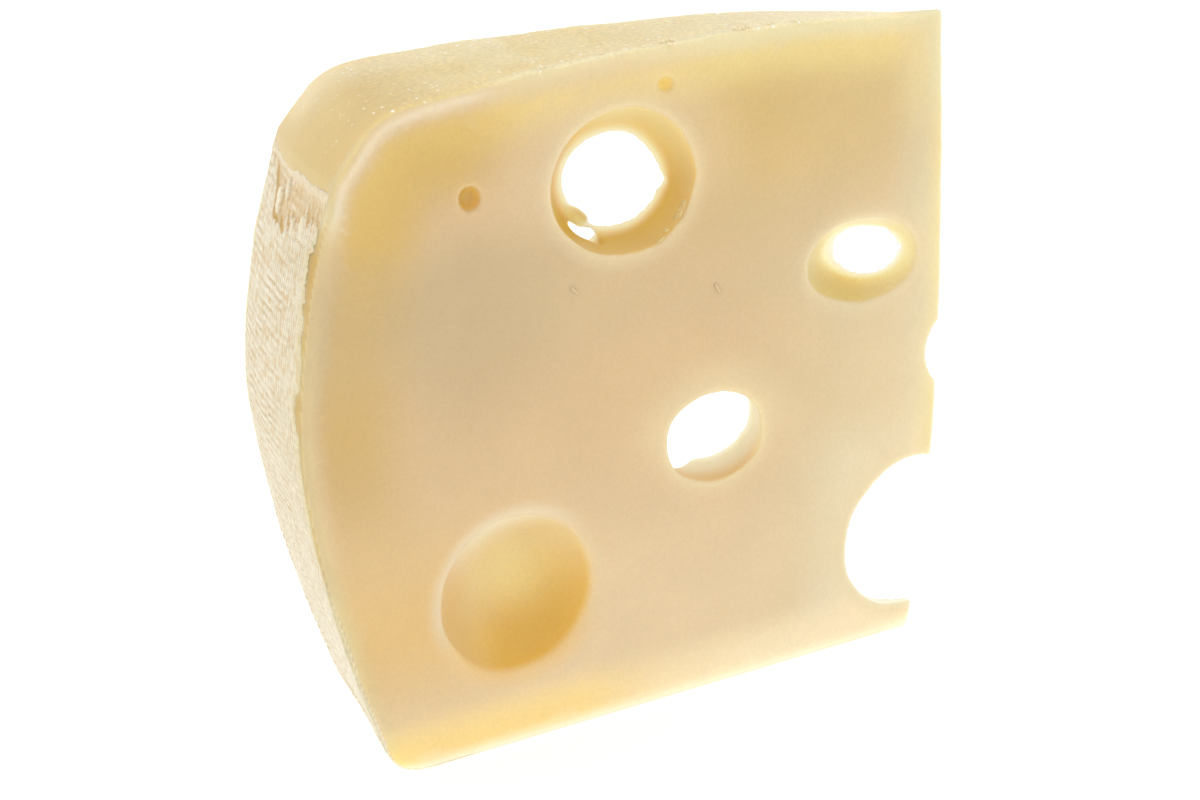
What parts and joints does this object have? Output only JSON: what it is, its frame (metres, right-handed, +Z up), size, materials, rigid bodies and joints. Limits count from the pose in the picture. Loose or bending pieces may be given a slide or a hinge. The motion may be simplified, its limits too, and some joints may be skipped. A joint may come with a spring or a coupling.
{
  "type": "cheese wedge",
  "caption": "Wedge of large-eyed semi-hard cheese: a narrow sector of a pressed wheel with a bulging rind, a sloping shoulder and round gas eyes, some open right through.",
  "frame": {"origin": "on the base, in the middle of the bounding box seen from above", "axes": "+Z up, +X towards the thin tip (the wheel's upright axis passes just beyond it, at x = 0.0793 m), -Y out of the front cut face; the rind is at -X and the back cut face opens away towards +Y"},
  "size_m": [0.1518, 0.0448, 0.1464],
  "materials": {
    "cheese": "smooth, slightly waxy cut faces and a cream rind with a fine cloth imprint"
  },
  "bodies": {
    "root": {"cheese_wedge": "cheese"}
  },
  "joints": []
}
